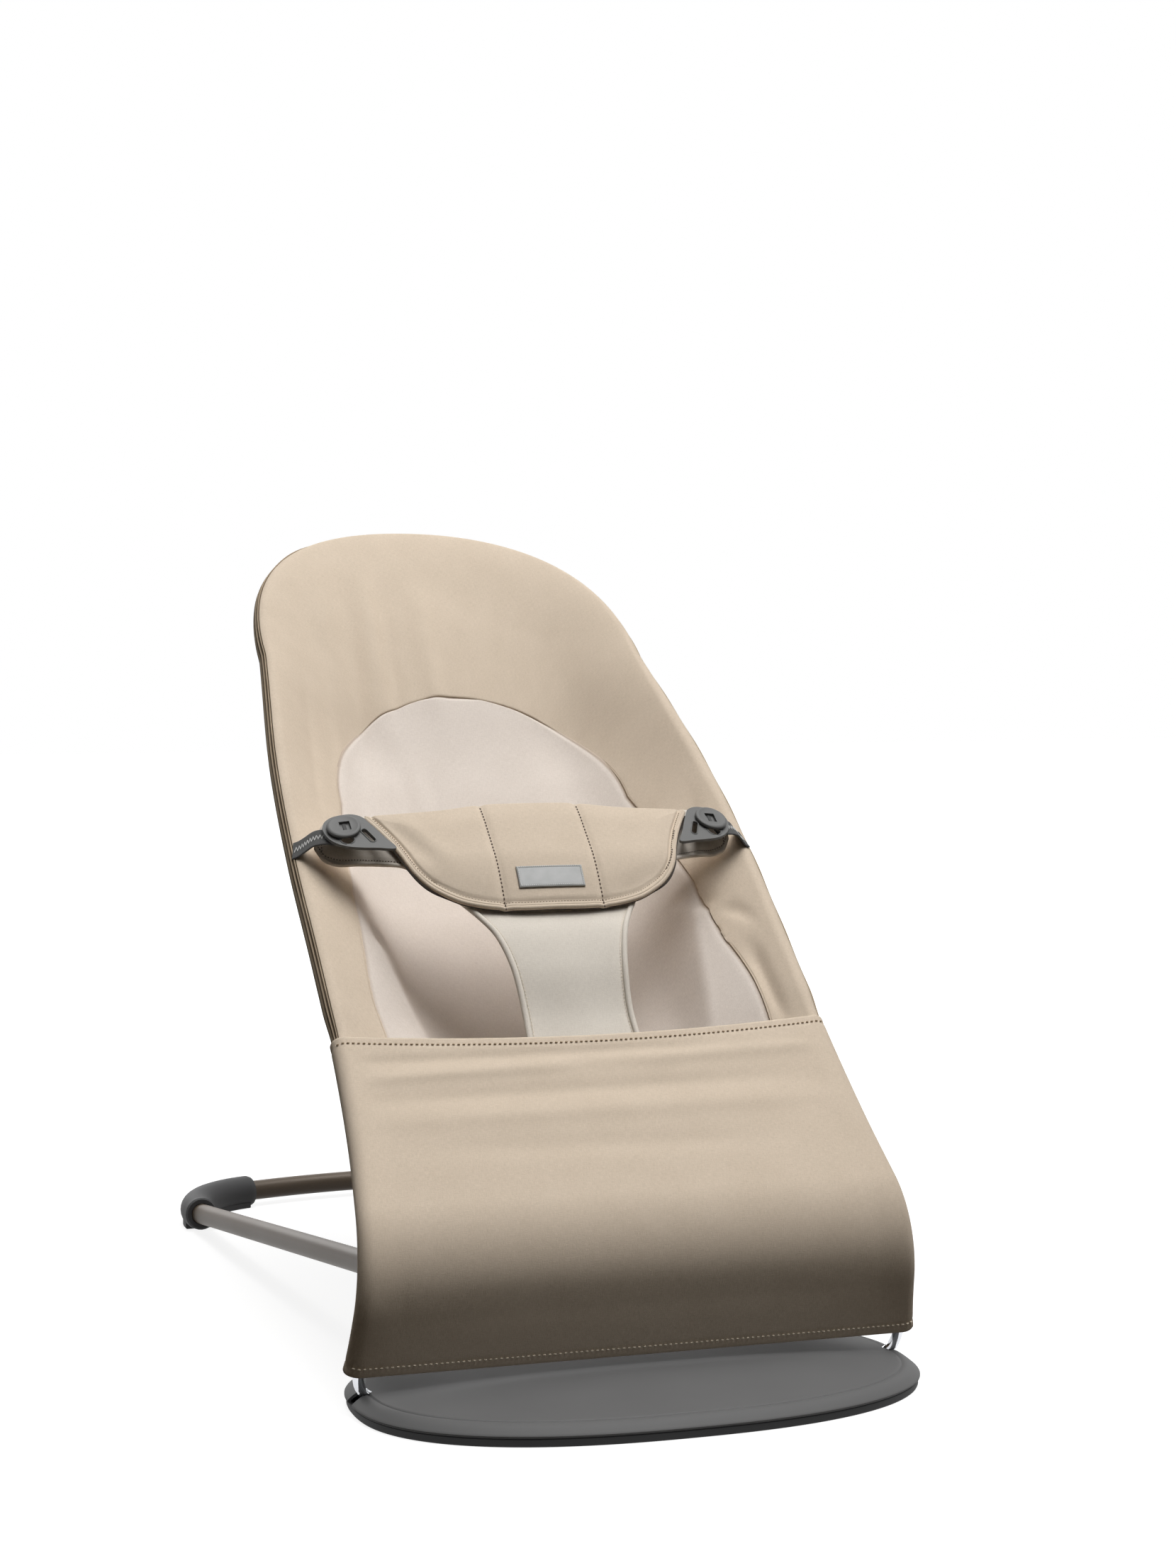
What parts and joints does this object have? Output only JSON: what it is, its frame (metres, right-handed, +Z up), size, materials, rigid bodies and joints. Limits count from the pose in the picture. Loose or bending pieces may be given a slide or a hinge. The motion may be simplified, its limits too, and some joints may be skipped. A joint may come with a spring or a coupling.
{
  "type": "baby bouncer",
  "caption": "Soft bouncing seat for a baby: a fabric sling on a sprung wire frame over a flat base plate, propped by a folding tube leg, with a buckled waist flap.",
  "frame": {"origin": "on the floor, at the middle of the base plate's sole", "axes": "+X to the right-hand side seen from the front, +Y from the base plate to the rear feet, +Z up"},
  "size_m": [0.379, 0.7844, 0.5619],
  "materials": {
    "beige_cotton": "closely woven beige cotton, double stitched",
    "light_cotton": "light greige jersey panel",
    "label_grey": "plain woven grey patch",
    "elastic": "dark grey woven elastic with zig-zag stitching",
    "buckle_plastic": "satin grey moulding",
    "base_plastic": "dark grey moulding with a fine texture",
    "sole_rubber": "soft matt black",
    "foot_rubber": "matt dark grey",
    "steel_sheet": "plain plated sheet",
    "spring_wire": "bright drawn spring steel",
    "tube_paint": "satin warm grey lacquer",
    "hub_plastic": "dark grey moulding",
    "screw_steel": "zinc plated"
  },
  "bodies": {
    "rear_leg": {"leg_tube": "tube_paint", "corner_foot_left": "foot_rubber", "corner_foot_right": "foot_rubber", "leg_hub_left": "hub_plastic", "leg_hub_right": "hub_plastic"},
    "hub_core": {"hub_ring_left": "steel_sheet", "hub_ring_right": "steel_sheet"},
    "seat_frame": {"spring_frame": "spring_wire", "hub_clamp_left": "hub_plastic", "hub_clamp_right": "hub_plastic", "hub_pin_left": "screw_steel", "hub_pin_right": "screw_steel", "seat_cover": "beige_cotton", "centre_panel": "light_cotton", "lower_panel": "beige_cotton", "crotch_panel": "light_cotton", "waist_flap": "beige_cotton", "flap_tab_left": "light_cotton", "flap_tab_right": "light_cotton", "label_patch": "label_grey", "strap_left": "elastic", "strap_right": "elastic", "buckle_plate_left": "buckle_plastic", "buckle_plate_right": "buckle_plastic"},
    "base": {"base_cover": "base_plastic", "base_sole": "sole_rubber", "base_underplate": "steel_sheet", "wire_saddle_left": "hub_plastic", "wire_saddle_right": "hub_plastic", "base_screw_1": "screw_steel", "base_screw_2": "screw_steel", "base_screw_3": "screw_steel", "base_screw_4": "screw_steel"},
    "release_left": {"release_button_left": "hub_plastic"},
    "release_right": {"release_button_right": "hub_plastic"},
    "buckle_left": {"buckle_button_left": "buckle_plastic"},
    "buckle_right": {"buckle_button_right": "buckle_plastic"}
  },
  "joints": [
    {"name": "recline", "type": "hinge", "parent": "rear_leg", "child": "hub_core", "pos_m": [0, 0.00299, 0.08143], "axis": [1, 0, 0], "range_deg": [-38, 0]},
    {"name": "bounce", "type": "hinge", "parent": "hub_core", "child": "seat_frame", "pos_m": [0, 0.00299, 0.08143], "axis": [1, 0, 0], "range_deg": [-3, 3], "stiffness_Nm_per_rad": 70, "springref_deg": 1.89},
    {"name": "base_pivot", "type": "hinge", "parent": "seat_frame", "child": "base", "pos_m": [0, 0.003, 0.008], "axis": [1, 0, 0], "range_deg": [-15, 15]},
    {"name": "release_left", "type": "slide", "parent": "rear_leg", "child": "release_left", "axis": [-1, 0, 0], "range_m": [0, 0.004], "stiffness_N_per_m": 400},
    {"name": "release_right", "type": "slide", "parent": "rear_leg", "child": "release_right", "axis": [1, 0, 0], "range_m": [0, 0.004], "stiffness_N_per_m": 400},
    {"name": "buckle_left", "type": "slide", "parent": "seat_frame", "child": "buckle_left", "axis": [-0.0071, -0.8236, -0.5672], "range_m": [0, 0.0115], "stiffness_N_per_m": 300},
    {"name": "buckle_right", "type": "slide", "parent": "seat_frame", "child": "buckle_right", "axis": [0.0071, -0.8236, -0.5672], "range_m": [0, 0.0115], "stiffness_N_per_m": 300}
  ]
}
